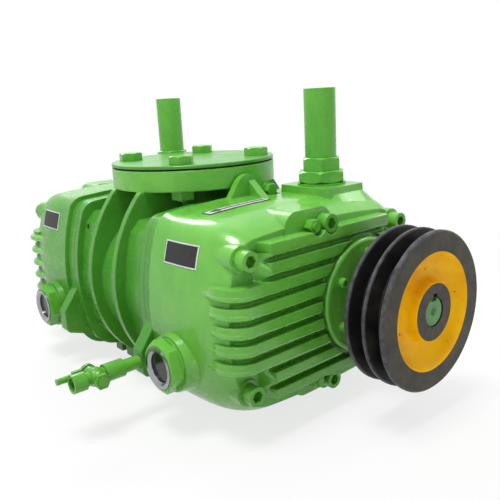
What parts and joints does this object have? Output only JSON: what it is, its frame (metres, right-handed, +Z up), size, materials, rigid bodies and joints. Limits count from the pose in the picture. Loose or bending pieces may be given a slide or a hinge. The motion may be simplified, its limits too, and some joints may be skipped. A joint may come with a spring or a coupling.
{
  "type": "roots vacuum pump",
  "caption": "Belt-driven twin-lobe roots vacuum pump with ribbed oil-splash end covers, top inlet flange with blank, breathers, sight glasses, drain cock and grooved pulley",
  "frame": {"origin": "on the base plane, in the middle of the outlet port under the casing", "axes": "+Z up, along the gas path from outlet to inlet; rotor shafts along Y with the pulley end toward -Y; drive shaft on the +X side, sight glasses and drain cock on the -X side"},
  "size_m": [0.3602, 0.5213, 0.3165],
  "materials": {
    "green_paint": "green enamel over cast iron",
    "cast": "machined cast iron",
    "steel": "turned steel",
    "bright": "bright plated ring",
    "gauge_glass": "dark oil gauge glass",
    "gasket_black": "jointing",
    "pulley_black": "black pulley with worn rims"
  },
  "bodies": {
    "casing": {"bearing_outer_rings": "steel", "bearing_retainers": "cast", "centre_casing": "green_paint", "cock_body": "green_paint", "cock_socket": "green_paint", "dowel_pins": "steel", "drain_coupling": "green_paint", "drain_pipe": "green_paint", "drive_breather_bush": "green_paint", "drive_breather_nipple": "green_paint", "drive_breather_pipe": "green_paint", "drive_breather_washer": "green_paint", "drive_cover_screws": "green_paint", "drive_end_cover": "green_paint", "drive_shaft_seal": "gasket_black", "drive_side_plate": "green_paint", "drive_sight_body": "green_paint", "drive_sight_glass": "gauge_glass", "drive_sight_ring": "bright", "drive_sight_washer": "green_paint", "gear_breather_bush": "green_paint", "gear_breather_nipple": "green_paint", "gear_breather_pipe": "green_paint", "gear_breather_washer": "green_paint", "gear_cover_screws": "green_paint", "gear_end_cover": "green_paint", "gear_side_plate": "green_paint", "gear_sight_body": "green_paint", "gear_sight_glass": "gauge_glass", "gear_sight_ring": "bright", "gear_sight_washer": "green_paint", "inlet_blank_plate": "green_paint", "inlet_bolts": "green_paint", "inlet_gasket": "gasket_black", "lug_bolts": "green_paint", "oil_plugs": "green_paint", "seal_cap": "green_paint", "seal_cap_screws": "green_paint"},
    "drive_rotor_set": {"drive_shaft": "steel", "drive_rotor": "cast", "drive_timing_gear": "steel", "drive_gear_key": "steel", "drive_gear_nut": "steel", "drive_locknut": "steel", "drive_inner_rings": "steel", "pulley": "pulley_black", "pulley_key": "steel"},
    "driven_rotor_set": {"driven_shaft": "steel", "driven_rotor": "cast", "driven_timing_gear": "steel", "driven_gear_key": "steel", "driven_gear_nut": "steel", "driven_locknut": "steel", "driven_inner_rings": "steel", "driven_oil_slinger": "steel"},
    "cock_handle": {"cock_plug": "green_paint", "cock_lever": "green_paint", "cock_nut": "green_paint"}
  },
  "joints": [
    {"name": "drive_rotor_spin", "type": "hinge", "parent": "casing", "child": "drive_rotor_set", "pos_m": [0.045, 0, 0.11], "axis": [0, 1, 0], "continuous": true},
    {"name": "driven_rotor_spin", "type": "hinge", "parent": "casing", "child": "driven_rotor_set", "pos_m": [-0.045, 0, 0.11], "axis": [0, 1, 0], "continuous": true},
    {"name": "drain_cock_turn", "type": "hinge", "parent": "casing", "child": "cock_handle", "pos_m": [-0.194, -0.088, 0.06], "axis": [0, 1, 0], "range_deg": [-90, 0]}
  ],
  "couplings": [
    {"joint": "driven_rotor_spin", "follows": "drive_rotor_spin", "ratio": -1}
  ]
}
